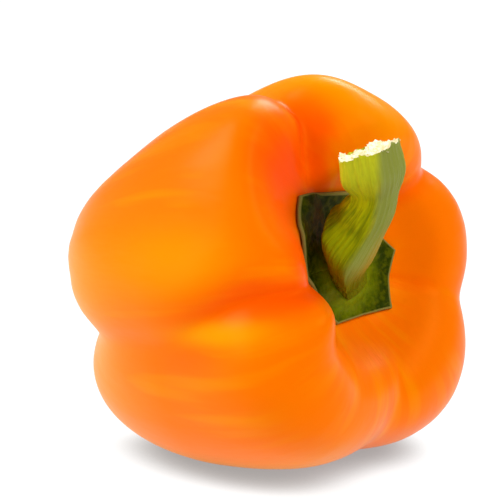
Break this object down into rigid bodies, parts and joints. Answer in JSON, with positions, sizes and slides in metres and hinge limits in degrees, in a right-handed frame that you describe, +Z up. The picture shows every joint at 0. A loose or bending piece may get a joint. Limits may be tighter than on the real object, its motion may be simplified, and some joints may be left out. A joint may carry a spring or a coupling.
{
  "type": "bell pepper",
  "caption": "Orange bell pepper lying on its side, with deep lobes, a green calyx in the stem cavity and a thick cut stem.",
  "frame": {"origin": "middle of the bounding box on the surface that the pepper lies on", "axes": "+Z up; the stem end faces the front right, 50 degrees from -Y towards +X and 10 degrees above level"},
  "size_m": [0.088, 0.0892, 0.0849],
  "materials": {
    "fruit_skin": "waxy gloss",
    "calyx_green": "satin, leathery",
    "stem_green": "satin, fibrous"
  },
  "bodies": {
    "root": {"fruit": "fruit_skin", "calyx": "calyx_green", "stem": "stem_green"}
  },
  "joints": []
}
